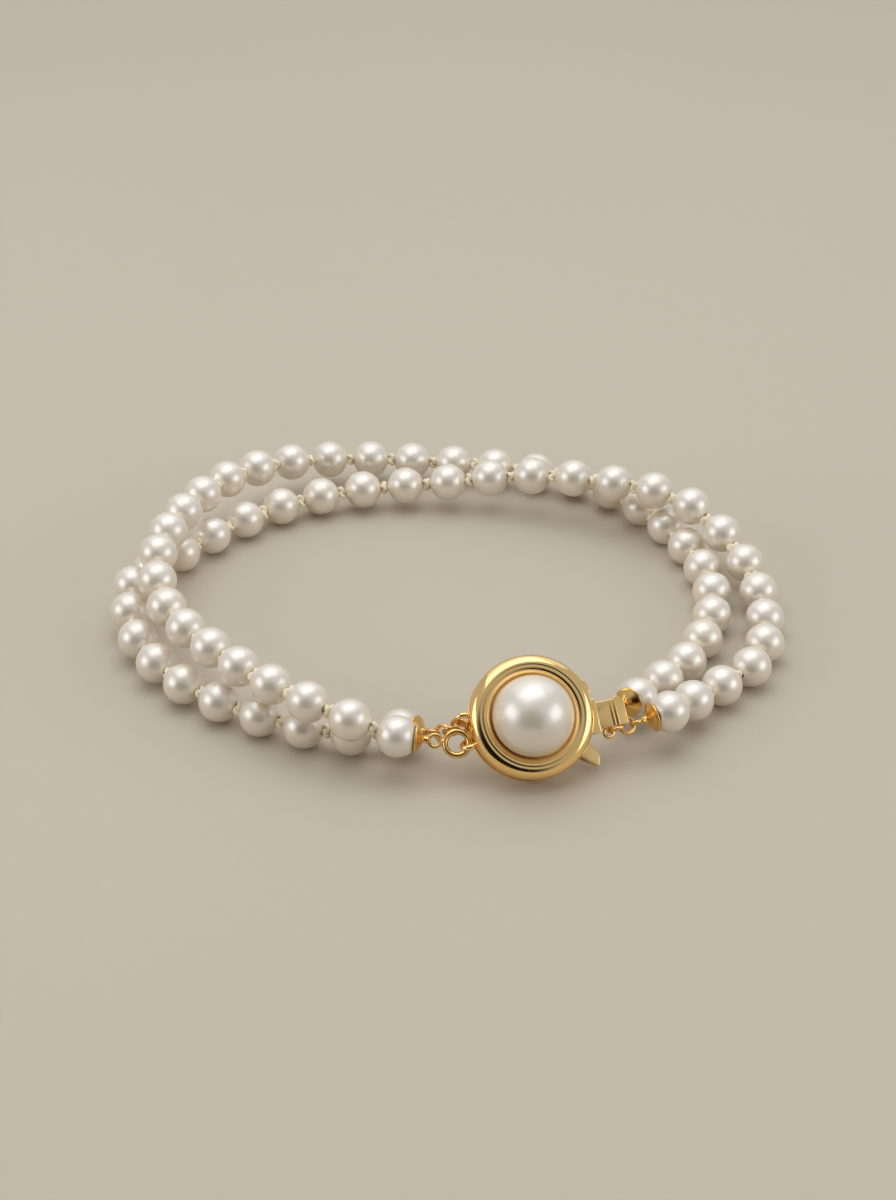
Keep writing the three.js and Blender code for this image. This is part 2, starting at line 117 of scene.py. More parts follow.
def makeRoomLight():
    world = bpy.data.worlds.new("room")
    world.use_nodes = True
    scene.world = world
    tree = world.node_tree
    tree.nodes.clear()
    direction = tree.nodes.new("ShaderNodeTexCoord")
    toDark = tree.nodes.new("ShaderNodeVectorMath")
    toDark.operation = "DOT_PRODUCT"
    toDark.inputs[1].default_value = studio["darkToward"]
    share = tree.nodes.new("ShaderNodeMapRange")
    share.interpolation_type = "SMOOTHSTEP"
    share.inputs["From Min"].default_value = studio["darkFrom"]
    share.inputs["From Max"].default_value = studio["darkFull"]
    mix = tree.nodes.new("ShaderNodeMix")
    mix.data_type = "RGBA"
    mix.inputs["A"].default_value = (*studio["room"], 1)
    mix.inputs["B"].default_value = (*studio["darkColor"], 1)
    glow = tree.nodes.new("ShaderNodeBackground")
    glow.inputs["Strength"].default_value = studio["roomStrength"]
    out = tree.nodes.new("ShaderNodeOutputWorld")
    tree.links.new(direction.outputs["Generated"], toDark.inputs[0])
    tree.links.new(toDark.outputs["Value"], share.inputs["Value"])
    tree.links.new(share.outputs["Result"], mix.inputs["Factor"])
    tree.links.new(mix.outputs["Result"], glow.inputs["Color"])
    tree.links.new(glow.outputs["Background"], out.inputs["Surface"])


# Materials. Every pattern reads Object coordinates, in metres, or the piece's own attribute.
def newMaterial(name):
    material = bpy.data.materials.new(name)
    material.use_nodes = True
    tree = material.node_tree
    shader = tree.nodes["Principled BSDF"]
    coords = tree.nodes.new("ShaderNodeTexCoord")
    return material, tree, shader, coords.outputs["Object"]


def addNoise(tree, source, scale, detail=3.0, stretch=None):
    if stretch:
        mapping = tree.nodes.new("ShaderNodeMapping")
        mapping.inputs["Scale"].default_value = stretch
        tree.links.new(source, mapping.inputs["Vector"])
        source = mapping.outputs["Vector"]
    noise = tree.nodes.new("ShaderNodeTexNoise")
    noise.inputs["Scale"].default_value = scale
    noise.inputs["Detail"].default_value = detail
    tree.links.new(source, noise.inputs["Vector"])
    return noise.outputs["Fac"]


def addRange(tree, value, low, high, fromLow=0.3, fromHigh=0.7):
    node = tree.nodes.new("ShaderNodeMapRange")
    node.inputs["From Min"].default_value = fromLow
    node.inputs["From Max"].default_value = fromHigh
    node.inputs["To Min"].default_value = low
    node.inputs["To Max"].default_value = high
    tree.links.new(value, node.inputs["Value"])
    return node.outputs["Result"]


def addMix(tree, share, first, second):
    mix = tree.nodes.new("ShaderNodeMix")
    mix.data_type = "RGBA"
    for socket, color in (("A", first), ("B", second)):
        if isinstance(color, tuple):
            mix.inputs[socket].default_value = color
        else:
            tree.links.new(color, mix.inputs[socket])
    tree.links.new(share, mix.inputs["Factor"])
    return mix.outputs["Result"]


def addBump(tree, shader, height, distance, below=None):
    bump = tree.nodes.new("ShaderNodeBump")
    bump.inputs["Distance"].default_value = distance
    bump.inputs["Strength"].default_value = 1.0
    tree.links.new(height, bump.inputs["Height"])
    if below:
        tree.links.new(below, bump.inputs["Normal"])
    tree.links.new(bump.outputs["Normal"], shader.inputs["Normal"])
    return bump.outputs["Normal"]


goldLook = {
    "light": (1.0, 0.72, 0.33, 1),
    "deep": (0.95, 0.61, 0.23, 1),
    "clouds": 420,
    "polished": (0.10, 0.16),  # least and most roughness
    "satin": (0.18, 0.25),
    "polishedGrain": (1.0, 0.25, 1.0),
    "satinGrain": (1.0, 0.12, 1.0),
    "chain": (0.84, 0.77, 0.62),  # multiplies the gold of the small parts, making it darker and browner
    "waves": 3e-6,  # height of the hand-polished unevenness, metres
    "waveScale": 600,
    "scratches": 4e-7,
    "scratchScale": 3000,
}


def makeGold(name, roughness, grain, tone=(1, 1, 1)):
    material, tree, shader, place = newMaterial(name)
    shader.inputs["Metallic"].default_value = 1
    cloudy = addNoise(tree, place, goldLook["clouds"])
    deep, light = ((*(c * t for c, t in zip(goldLook[shade], tone)), 1) for shade in ("deep", "light"))
    tree.links.new(addMix(tree, cloudy, deep, light), shader.inputs["Base Color"])
    fine = addNoise(tree, place, goldLook["scratchScale"], 4.0, grain)
    tree.links.new(addRange(tree, fine, *roughness), shader.inputs["Roughness"])
    uneven = addNoise(tree, place, goldLook["waveScale"], 1.0)
    waves = addBump(tree, shader, uneven, goldLook["waves"])
    addBump(tree, shader, fine, goldLook["scratches"], waves)
    return material


pearlLook = {
    "white": (0.84, 0.73, 0.58, 1),
    "cream": (0.83, 0.705, 0.52, 1),
    "rose": (0.84, 0.715, 0.595, 1),
    "blush": 0.55,  # the most of the rose tone
    "roughness": (0.30, 0.38),
    "ior": 1.6,
    "coat": 1,  # the layers of nacre, which throw back about a third of the light
    "coatRoughness": 0.32,
    "coatIor": 3.8,
    "skin": 1.5e-6,  # height of the nacre's faint unevenness, metres
    "clouds": 260,
    "halfPearlClouds": 140,
    "skinScale": 3,  # times finer than the clouds
    "growthScale": 9,
}


def makeNacre(name, cloudScale):
    material, tree, shader, place = newMaterial(name)
    tone = tree.nodes.new("ShaderNodeAttribute")
    tone.attribute_name = "tone"
    clouds = addNoise(tree, place, cloudScale, 2.0)
    body = addMix(tree, tone.outputs["Fac"], pearlLook["white"], pearlLook["cream"])
    blush = addRange(tree, clouds, 0.0, pearlLook["blush"])
    tree.links.new(addMix(tree, blush, body, pearlLook["rose"]), shader.inputs["Base Color"])
    growth = addNoise(tree, place, cloudScale * pearlLook["growthScale"], 3.0)
    tree.links.new(addRange(tree, growth, *pearlLook["roughness"]), shader.inputs["Roughness"])
    skin = addNoise(tree, place, cloudScale * pearlLook["skinScale"], 2.0)
    addBump(tree, shader, skin, pearlLook["skin"])
    shader.inputs["IOR"].default_value = pearlLook["ior"]
    shader.inputs["Coat Weight"].default_value = pearlLook["coat"]
    shader.inputs["Coat Roughness"].default_value = pearlLook["coatRoughness"]
    shader.inputs["Coat IOR"].default_value = pearlLook["coatIor"]
    return material


silkLook = {
    "light": (1.0, 0.92, 0.73, 1),
    "shade": (0.98, 0.87, 0.63, 1),
    "roughness": 0.55,
    "fibres": 5200,
    "fibreStretch": (1.0, 1.0, 0.35),
    "ply": 6e-6,  # height of the fibres, metres
}


def makeSilk():
    material, tree, shader, place = newMaterial("silk")
    fibres = addNoise(tree, place, silkLook["fibres"], 3.0, silkLook["fibreStretch"])
    tree.links.new(addMix(tree, fibres, silkLook["shade"], silkLook["light"]), shader.inputs["Base Color"])
    shader.inputs["Roughness"].default_value = silkLook["roughness"]
    addBump(tree, shader, fibres, silkLook["ply"])
    return material


def makeFloor():
    bm = bmesh.new()
    bmesh.ops.create_grid(bm, x_segments=1, y_segments=1, size=studio["floorSize"] / 2)
    material, tree, shader, place = newMaterial("floor")
    shade = addNoise(tree, place, studio["floorClouds"], 2.0)
    base = studio["floorColor"]
    darker = tuple(studio["floorCloudShade"] * c for c in base[:3]) + (1,)
    tree.links.new(addMix(tree, shade, darker, base), shader.inputs["Base Color"])
    shader.inputs["Roughness"].default_value = studio["floorRoughness"]
    addBump(tree, shader, addNoise(tree, place, studio["floorGrain"], 2.0), studio["floorGrainHeight"])
    floor = toObject("floor", bm, material)


# Shapes
def toObject(name, bm, material, sharpFrom=40):
    mesh = bpy.data.meshes.new(name)
    bm.to_mesh(mesh)
    bm.free()
    mesh.polygons.foreach_set("use_smooth", [True] * len(mesh.polygons))
    mesh.set_sharp_from_angle(angle=math.radians(sharpFrom))
    mesh.materials.append(material)
    obj = bpy.data.objects.new(name, mesh)
    scene.collection.objects.link(obj)
    return obj


def arcPoints(middle, radius, start, end, steps):
    angles = [start + (end - start) * i / steps for i in range(steps + 1)]
    return [(middle[0] + radius * math.cos(a), middle[1] + radius * math.sin(a)) for a in angles]


def turned(profile, steps=96):
    bm = bmesh.new()
    verts = [bm.verts.new((r, 0, z)) for r, z in profile]
    edges = [bm.edges.new(pair) for pair in zip(verts, verts[1:])]
    bmesh.ops.spin(bm, geom=verts + edges, axis=(0, 0, 1), angle=turn, steps=steps, use_merge=True)
    return closed(bm)


def closed(bm):
    bmesh.ops.remove_doubles(bm, verts=bm.verts, dist=1e-4)
    bmesh.ops.dissolve_degenerate(bm, edges=bm.edges, dist=1e-5)
    bmesh.ops.recalc_face_normals(bm, faces=bm.faces)
    return bm


def ringShape(diameter, wire, around=56, across=14):
    bm = bmesh.new()
    upright = Matrix.Translation(((diameter - wire) / 2, 0, 0)) @ Matrix.Rotation(math.pi / 2, 4, "X")
    circle = bmesh.ops.create_circle(bm, radius=wire / 2, segments=across, matrix=upright)["verts"]
    geom = circle + list(bm.edges)
    bmesh.ops.spin(bm, geom=geom, axis=(0, 0, 1), angle=turn, steps=around, use_merge=True)
    return closed(bm)


def blockShape(size, middle, bevel):
    bm = bmesh.new()
    bmesh.ops.create_cube(bm, size=1, matrix=Matrix.Translation(middle) @ Matrix.Diagonal((*size, 1)))
    softenEdges(bm, bevel)
    return bm


def softenEdges(bm, width, sharperThan=35):
    edges = [e for e in bm.edges if e.is_manifold and e.calc_face_angle() > math.radians(sharperThan)]
    bmesh.ops.bevel(
        bm, geom=edges, offset=width, offset_type="OFFSET", segments=3,
        profile=0.5, affect="EDGES", clamp_overlap=True, material=-1,
    )


def plateShape(outline, bottom, thickness, bevel, holes=()):
    bm = bmesh.new()
    edges = []
    for loop in [outline, *holes]:
        verts = [bm.verts.new((x, y, bottom)) for x, y in loop]
        edges += [bm.edges.new((verts[i - 1], verts[i])) for i in range(len(verts))]
    faces = bmesh.ops.triangle_fill(bm, use_beauty=True, use_dissolve=True, edges=edges)["geom"]
    flat = [f for f in faces if isinstance(f, bmesh.types.BMFace)]
    top = bmesh.ops.extrude_face_region(bm, geom=flat)["geom"]
    lifted = [v for v in top if isinstance(v, bmesh.types.BMVert)]
    bmesh.ops.translate(bm, vec=(0, 0, thickness), verts=lifted)
    bmesh.ops.recalc_face_normals(bm, faces=bm.faces)
    softenEdges(bm, bevel)
    return bm


def addShape(bm, shape, place=None):
    mesh = bpy.data.meshes.new("part")
    shape.to_mesh(mesh)
    shape.free()
    addMesh(bm, mesh, place)
    bpy.data.meshes.remove(mesh)


def addMesh(bm, mesh, place=None):
    before = len(bm.verts)
    bm.from_mesh(mesh)
    if place:
        bm.verts.ensure_lookup_table()
        bmesh.ops.transform(bm, matrix=place, verts=bm.verts[before:])


def axesMatrix(x, y, z, origin):
    rows = Matrix((x, y, z)).transposed().to_4x4()
    rows.translation = origin
    return rows


# Places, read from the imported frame
def nodePoints(name):
    co = np.array([v.co for v in frame["nodes"][name].data.vertices])
    return np.unique(np.round(co / mm, 4), axis=0)


def flattest(points):
    middle = points.mean(axis=0)
    return np.linalg.eigh(np.cov((points - middle).T))[1][:, 0]


def ringMatrix(points):
    normal = Vector(flattest(points))
    side = normal.orthogonal().normalized()
    return axesMatrix(side, normal.cross(side), normal, Vector(points.mean(axis=0)))


def readStrand(name, ringsPerPearl=7):
    # The strand is walked ring by ring from pole to pole. The middle ring of each pearl is its equator.
    bm = bmesh.new()
    bm.from_mesh(frame["nodes"][name].data)
    bmesh.ops.scale(bm, vec=(1 / mm,) * 3, verts=bm.verts)
    bmesh.ops.remove_doubles(bm, verts=bm.verts, dist=1e-3)
    front = [max(bm.verts, key=lambda v: len(v.link_edges))]
    seen = set(front)
    rings = []
    while front:
        front = list({e.other_vert(v) for v in front for e in v.link_edges} - seen)
        seen.update(front)
        if len(front) > 1:  # a pole alone is no ring
            rings.append([v.co.copy() for v in front])
    middles = [sum(ring, Vector()) / len(ring) for ring in rings]
    pearls = []
    for i in range(0, len(rings), ringsPerPearl):
        equator = i + ringsPerPearl // 2
        center = middles[equator]
        radius = (rings[equator][0] - center).length
        along = (middles[i + ringsPerPearl - 1] - middles[i]).normalized()
        pearls.append({"center": center, "along": along, "radius": radius})
    bm.free()
    return pearls


strands = {name: readStrand("strand_" + name) for name in ("a", "b")}
for name in strands:
    print("strand", name, "has", len(strands[name]), "pearls")


# Clasp sizes, in millimetres. The clasp's own Z looks out of its face, X along its tongue.
case = {
    "rim": 13.05,
    "rimWidest": 2.3,  # height at which the rim is widest
    "back": 13.0,
    "backThick": 0.5,
    "backEdge": 0.14,
    "drum": 12.1,
    "seatHeight": 2.45,
    "halfPearl": 8.5,
    "seatGap": 0.1,
    "wallTop": 2.95,
    "wallEdge": 0.06,
    "steps": 160,
}
# The rim's section from its widest line inwards: each bend has a radius, and tilts to start and end at
rimBends = [
    {"radius": 1.1, "start": 90, "end": 28, "steps": 16},
    {"radius": 1.5, "start": 28, "end": 14, "steps": 6},
    {"radius": 0.35, "start": 14, "end": -12, "steps": 8},
    {"radius": -0.5, "start": -12, "end": 10, "steps": 6},  # a shallow valley between the rolls
    {"radius": 0.8, "start": 10, "end": -14, "steps": 8},
    {"radius": 0.75, "start": -14, "end": -44, "steps": 8},
]
lugs = {"diameter": 2.1, "wire": 0.6, "spacing": 2.6, "standOff": 0.43, "lift": 0.15, "turn": 58}
lever = {
    "thick": 0.6,
    "gap": 0.18,
    "width": 2.3,
    "bevel": 0.09,
    "pivotTurn": -22,
    "pivotInset": 1.5,
    "hole": 0.98,
    "fin": 2.3,  # how far the fin and the tab stand out past the rim
    "tab": 1.14,
    "finEnd": -49,  # angles round the case, in degrees
    "finFrom": -45.5,
    "finTop": -36,
    "finTo": -31,
    "edgeTo": 11,
    "tabFrom": 12,
    "tabTop": 21,
    "tabTo": 26,
    "tip": 28,
}
rivet = {"shaft": 0.8, "head": 1.6, "headThick": 0.22, "edge": 0.1, "dome": 0.05, "root": 0.1, "steps": 40}
tongue = {
    "width": 2.8,
    "thick": 0.85,
    "base": 0.75,
    "reach": 3.5,
    "depth": 3.9,
    "offset": -1.2,
    "corner": 0.6,
    "bevel": 0.07,
    "widerEnd": 0.25,
    "widerFrom": 0.1,  # past the ridge
    "widerFull": 0.25,
    "ridgeFromEnd": 1.25,
    "ridge": 0.20,
    "ridgeHeight": 0.20,
    "ridgeInset": 0.04,
    "ridgeBevel": 0.05,
    "solder": 0.12,
    "slideGap": 0.1,
    "mouthWall": 0.3,
    "mouthReach": 0.42,
    "mouthDepth": 1.6,
    "mouthBevel": 0.10,
    "lug": 1.36,
    "lugWire": 0.4,
    "lugFromEnd": 2.2,
}
caseRadius = case["rim"] / 2


def claspMatrix():
    # The lever's hinge gives the face's direction and the tongue's, the half pearl gives the middle.
    hinge = frame["joints"][0]
    face = Vector(hinge["axis"]).normalized()
    dome = nodePoints("mabe_pearl")
    foot = min(dome @ np.array(face))
    middle = Vector(dome.mean(axis=0))
    height = foot - case["seatHeight"] - case["seatGap"]
    origin = middle + face * (height - face.dot(middle))
    toPivot = Vector(hinge["pos_m"]) / mm - origin
    toPivot -= face * face.dot(toPivot)
    along = Quaternion(face, -math.radians(lever["pivotTurn"])) @ toPivot.normalized()
    return axesMatrix(along, face.cross(along), face, origin)


claspPlace = claspMatrix()
toMetres = Matrix.Scale(mm, 4)


def onBack(degrees, radius):
    return (radius * math.cos(math.radians(degrees)), radius * math.sin(math.radians(degrees)))


def bendPoints(start, bends):
    points = [start]
    for bend in bends:
        start, change, steps = bend["start"], bend["end"] - bend["start"], bend["steps"]
        tilts = [start + change * i / steps for i in range(steps + 1)]
        for first, second in zip(tilts, tilts[1:]):
            first, second = math.radians(first), math.radians(second)
            r = points[-1][0] + bend["radius"] * (math.sin(second) - math.sin(first))
            z = points[-1][1] + bend["radius"] * (math.cos(second) - math.cos(first))
            points.append((r, z))
    return points


def caseProfile():
    back, thick, edge = case["back"] / 2, case["backThick"], case["backEdge"]
    drum = case["drum"] / 2
    wall = case["halfPearl"] / 2 + case["seatGap"]
    quarter = math.pi / 2
    underRim = arcPoints((drum, case["rimWidest"]), caseRadius - drum, -quarter, 0, 8)
    return [
        (0, 0),
        *arcPoints((back - edge, edge), edge, -quarter, 0, 4),
        *arcPoints((back - edge, thick - edge), edge, 0, quarter, 4),
        (drum, thick),
        *underRim[:-1],
        *bendPoints((caseRadius, case["rimWidest"]), rimBends),
        (wall + case["wallEdge"], case["wallTop"] + case["wallEdge"]),
        (wall, case["wallTop"]),
        (wall, case["seatHeight"]),
        (0, case["seatHeight"]),
    ]


def lugMatrices():
    out = max(case["rim"], case["back"], case["drum"]) / 2 + lugs["standOff"]
    fan = math.asin(lugs["spacing"] / 2 / out)
    for side in (-1, 1):
        height = (case["seatHeight"] + lugs["lift"]) / 2
        spot = Vector((-out * math.cos(fan), side * lugs["spacing"] / 2, height))
        leaning = Matrix.Rotation(side * math.radians(lugs["turn"]), 4, "X")
        spin = Matrix.Rotation(-side * fan, 4, "Z") @ leaning
        yield Matrix.Translation(spot) @ spin


def rivetProfile():
    shaft, head = rivet["shaft"] / 2, rivet["head"] / 2
    edge, root = rivet["edge"], rivet["root"]
    top = -lever["thick"] - 2 * lever["gap"]
    low = top - rivet["headThick"] - rivet["dome"]
    corner = arcPoints((head - edge, top - edge), edge, 0, -math.pi / 2, 4)
    return [(0, root), (shaft, root), (shaft, top), (head, top), *corner, (0, low)]


def mouthShape():
    # A flat tube for the tongue, open at its front
    wall = 2 * (tongue["slideGap"] + tongue["mouthWall"])
    end = caseRadius + tongue["mouthReach"]
    start = case["drum"] / 4
    size = (end - start, tongue["width"] + wall, tongue["thick"] + wall)
    middle = ((end + start) / 2, tongue["offset"], tongue["base"] + tongue["thick"] / 2)
    mouth = bmesh.new()
    bmesh.ops.create_cube(mouth, size=1, matrix=Matrix.Translation(middle) @ Matrix.Diagonal((*size, 1)))
    front = [f for f in mouth.faces if f.normal.x > 0.9]
    bmesh.ops.inset_region(mouth, faces=front, thickness=tongue["mouthWall"])
    slot = bmesh.ops.extrude_face_region(mouth, geom=front)["geom"]
    bmesh.ops.delete(mouth, geom=front, context="FACES")
    bottom = [v for v in slot if isinstance(v, bmesh.types.BMVert)]
    bmesh.ops.translate(mouth, vec=(-tongue["mouthDepth"], 0, 0), verts=bottom)
    bmesh.ops.recalc_face_normals(mouth, faces=mouth.faces)
    softenEdges(mouth, tongue["mouthBevel"])
    return mouth


def makeCase(gold):
    bm = bmesh.new()
    addShape(bm, turned(caseProfile(), case["steps"]))
    addShape(bm, mouthShape())
    for place in lugMatrices():
        addShape(bm, ringShape(lugs["diameter"], lugs["wire"]), place)
    pivot = onBack(lever["pivotTurn"], caseRadius - lever["pivotInset"])
    addShape(bm, turned(rivetProfile(), rivet["steps"]), Matrix.Translation((*pivot, 0)))
    bmesh.ops.transform(bm, matrix=toMetres @ claspPlace, verts=bm.verts)
    piece = toObject("clasp_case", bm, gold)
    finishPiece(piece, "bracelet", "case")


# Its foot's radius, the height from its foot to its widest line, and the height of its dome above that
halfPearl = {"foot": 4.14, "band": 0.85, "dome": 4.25, "steps": 128, "tone": 0.25}


def makeHalfPearl(nacre):
    foot = case["seatHeight"] + case["seatGap"]
    radius = case["halfPearl"] / 2
    widest = foot + halfPearl["band"]
    dome = halfPearl["dome"]
    upper = [(radius * r, widest + dome * z) for r, z in arcPoints((0, 0), 1, 0, math.pi / 2, 32)]
    lowest = -math.acos(halfPearl["foot"] / radius)
    drop = halfPearl["band"] / math.sin(-lowest)
    lower = [(radius * r, widest + drop * z) for r, z in arcPoints((0, 0), 1, lowest, 0, 8)]
    bm = turned([(0, foot), *lower[:-1], *upper[:-1], (0, widest + dome)], halfPearl["steps"])
    bmesh.ops.transform(bm, matrix=toMetres @ claspPlace, verts=bm.verts)
    piece = toObject("half_pearl", bm, nacre)
    setTone(piece, [halfPearl["tone"]] * len(piece.data.vertices))
    finishPiece(piece, "bracelet", "mabe_pearl")


def makeTongue(gold):
    half, end = tongue["width"] / 2, caseRadius + tongue["reach"]
    low, high = tongue["offset"] - half, tongue["offset"] + half
    cut = tongue["corner"]
    start = caseRadius - tongue["depth"]
    wide, ridgeAt = high + tongue["widerEnd"], end - tongue["ridgeFromEnd"]
    outline = [
        (start, low), (end, low), (end, wide - cut), (end - cut, wide),
        (ridgeAt + tongue["widerFull"], wide), (ridgeAt + tongue["widerFrom"], high), (start, high),
    ]
    bm = bmesh.new()
    addShape(bm, plateShape(outline, tongue["base"], tongue["thick"], tongue["bevel"]))
    ridgeTop = tongue["base"] + tongue["thick"] + tongue["ridgeHeight"]
    size = (tongue["ridge"], tongue["width"] - tongue["ridgeInset"], tongue["ridgeHeight"] + tongue["solder"])
    for side in (-1, 1):
        middle = (ridgeAt + side * tongue["ridge"], tongue["offset"], ridgeTop - size[2] / 2)
        addShape(bm, blockShape(size, middle, tongue["ridgeBevel"]))
    reach = tongue["lug"] / 2 - tongue["solder"]
    x = end - tongue["lugFromEnd"]
    edgeLug = Matrix.Translation((x, low - reach, tongue["base"] + tongue["lugWire"] / 2))
    upright = Matrix.Rotation(math.pi / 2, 4, "X")
    underLug = Matrix.Translation((x, tongue["offset"], tongue["base"] - reach)) @ upright
    for place in (edgeLug, underLug):
        addShape(bm, ringShape(tongue["lug"], tongue["lugWire"], 40, 12), place)
    bmesh.ops.transform(bm, matrix=toMetres @ claspPlace, verts=bm.verts)
    piece = toObject("clasp_tongue", bm, gold)
    finishPiece(piece, "bracelet", "tongue")


def curveBetween(start, bend, end, steps=8):
    shares = [i / steps for i in range(steps + 1)]
    return [
        tuple((1 - t) ** 2 * s + 2 * t * (1 - t) * b + t * t * e for s, b, e in zip(start, bend, end))
        for t in shares
    ]


def sweep(start, end, radius, steps):
    return [onBack(start + (end - start) * i / steps, radius) for i in range(steps + 1)]


def leverOutline():
    outer = caseRadius - lever["gap"]
    inner = outer - lever["width"]
    fin, tab = caseRadius + lever["fin"], caseRadius + lever["tab"]
    tabStart = caseRadius + 0.67 * lever["tab"]
    tabEnd = caseRadius + 0.5 * lever["tab"]
    tip = onBack(lever["tip"], (inner + outer) / 2)
    return [
        onBack(lever["finEnd"], caseRadius + lever["fin"] / 4),
        *curveBetween(
            onBack(lever["finFrom"], fin), onBack(lever["finTop"], fin), onBack(lever["finTo"], outer)
        ),
        *sweep(lever["finTo"], lever["edgeTo"], outer, 20)[1:],
        *curveBetween(
            onBack(lever["tabFrom"], tabStart), onBack(lever["tabTop"], tab), onBack(lever["tabTo"], tabEnd)
        ),
        *curveBetween(tip, onBack(lever["tip"] - 1, inner), onBack(lever["tip"] - 8, inner)),
        *sweep(lever["tip"] - 8, lever["finEnd"], inner, 30)[1:],
    ]


def makeLever(gold):
    pivot = onBack(lever["pivotTurn"], caseRadius - lever["pivotInset"])
    hole = [(pivot[0] + x, pivot[1] + y) for x, y in sweep(0, 350, lever["hole"] / 2, 35)]
    low = -lever["gap"] - lever["thick"]
    bm = plateShape(leverOutline(), low, lever["thick"], lever["bevel"], [hole])
    bmesh.ops.transform(bm, matrix=toMetres @ claspPlace, verts=bm.verts)
    piece = toObject("lever", bm, gold)
    finishPiece(piece, "lever", "safety_lever")


# Cups, rings and links, in millimetres. A cup's own Z runs from its pearl's middle to its loop.
cup = {
    "rim": 3.0,
    "gap": 0.12,
    "wall": 0.24,
    "neck": 0.8,
    "length": 0.85,
    "loop": 1.68,
    "loopWire": 0.40,
    "solder": 0.12,
    "ball": 0.62,
    "largeRing": 3.16,
    "largeWire": 0.66,
}
link = {"diameter": 2.05, "wire": 0.42}


def cupProfile(radius):
    bowl = radius + cup["gap"]
    rim, wall, neck = cup["rim"] / 2, cup["wall"], cup["neck"] / 2
    lean = math.asin(rim / bowl)
    rimUp = bowl * math.cos(lean)
    inside = arcPoints((0, 0), bowl, math.pi / 2, math.pi / 2 - lean, 12)
    lip = arcPoints((rim, rimUp + wall / 2), wall / 2, -math.pi / 2, math.pi / 2, 8)
    end = bowl + cup["length"]
    neckStart = (neck, bowl + wall * 1.5)
    shoulder = curveBetween((rim, rimUp + wall), (rim * 0.55, bowl + wall * 0.9), neckStart, 8)
    flare = curveBetween(neckStart, (neck * 0.85, bowl + cup["length"] / 2), (neck, end), 6)
    return [*inside, *lip, *shoulder[1:], *flare[1:], (0, end)]


def makeCup(node, pearl, gold, withLargeRing):
    bowlEnd = pearl["radius"] + cup["gap"] + cup["length"]
    points = nodePoints(node)
    beyond = points[np.linalg.norm(points - np.array(pearl["center"]), axis=1) > bowlEnd + 0.05]
    along = (Vector(beyond.mean(axis=0)) - pearl["center"]).normalized()
    normal = Vector(flattest(beyond))
    normal = (normal - along * along.dot(normal)).normalized()
    place = axesMatrix(normal.cross(along), normal, along, pearl["center"])
    bm = bmesh.new()
    addShape(bm, turned(cupProfile(pearl["radius"]), 64))
    lie = Matrix.Rotation(math.pi / 2, 4, "X")
    loopAt = bowlEnd + cup["loop"] / 2 - cup["solder"]
    addShape(bm, ringShape(cup["loop"], cup["loopWire"], 44, 12), Matrix.Translation((0, 0, loopAt)) @ lie)
    if withLargeRing:
        ballAt = loopAt + cup["loop"] / 2
        ringAt = loopAt + (cup["loop"] + cup["largeRing"]) / 2 - cup["solder"]
        ball = bmesh.new()
        bmesh.ops.create_uvsphere(ball, u_segments=24, v_segments=14, radius=cup["ball"] / 2)
        addShape(bm, ball, Matrix.Translation((0, 0, ballAt)))
        large = ringShape(cup["largeRing"], cup["largeWire"], 72, 16)
        addShape(bm, large, Matrix.Translation((0, 0, ringAt)) @ lie)
    bmesh.ops.transform(bm, matrix=toMetres @ place, verts=bm.verts)
    piece = toObject(node.replace("end_cup", "cup"), bm, gold)
    finishPiece(piece, "bracelet", node)


def makeLink(node, gold):
    bm = ringShape(link["diameter"], link["wire"], 48, 12)
    bmesh.ops.transform(bm, matrix=toMetres @ ringMatrix(nodePoints(node)), verts=bm.verts)
    piece = toObject("chain_" + node, bm, gold)
    finishPiece(piece, "bracelet", node)


# Pearls and the silk knots between them
pearlShape = {
    "hole": 0.30,  # radius of the drilled hole
    "holeEdge": 0.09,
    "holeDepth": 0.5,
    "around": 36,
    "along": 24,
    "uneven": 0.014,
    "seed": 11,
}
knotShape = {
    "radius": 0.60,
    "height": 0.20,
    "thread": 0.25,  # radius of the thread
    "steps": 30,
    "uneven": 0.12,
    "lean": 0.25,  # radians
    "seed": 5,
}
softFrom = 60  # degrees, the edges of pearls and knots look sharp only from this angle


def setTone(piece, tones):
    piece.data.attributes.new("tone", "FLOAT", "POINT").data.foreach_set("value", tones)


def pearlProfile(radius):
    edge = pearlShape["hole"] + pearlShape["holeEdge"]
    start = math.asin(edge / radius)
    skin = arcPoints((0, 0), radius, math.pi / 2 - start, start - math.pi / 2, pearlShape["along"])
    rim = radius * math.cos(start) - 0.6 * pearlShape["holeEdge"]
    floor = rim - pearlShape["holeDepth"]
    hole = [(0, floor), (pearlShape["hole"], floor), (pearlShape["hole"], rim)]
    return hole + skin + [(r, -z) for r, z in reversed(hole)]


def makePearls(name, nacre):
    pearls = strands[name]
    draw = random.Random(pearlShape["seed"] + ord(name))
    shape = turned(pearlProfile(pearls[0]["radius"]), pearlShape["around"])
    mesh = bpy.data.meshes.new("pearl")
    shape.to_mesh(mesh)
    shape.free()
    bm = bmesh.new()
    tones = []
    for pearl in pearls:
        spin = Matrix.Rotation(draw.uniform(0, turn), 4, "Z")
        squeeze = Matrix.Diagonal([1 - draw.uniform(0, pearlShape["uneven"]) for _ in range(3)] + [1])
        tilt = pearl["along"].to_track_quat("Z", "Y").to_matrix().to_4x4()
        addMesh(bm, mesh, Matrix.Translation(pearl["center"]) @ tilt @ spin @ squeeze)
        tones += [draw.uniform(0, 1)] * len(mesh.vertices)
    bmesh.ops.transform(bm, matrix=toMetres, verts=bm.verts)
    piece = toObject("pearls_" + name, bm, nacre, softFrom)
    setTone(piece, tones)
    finishPiece(piece, "bracelet", "strand_" + name)


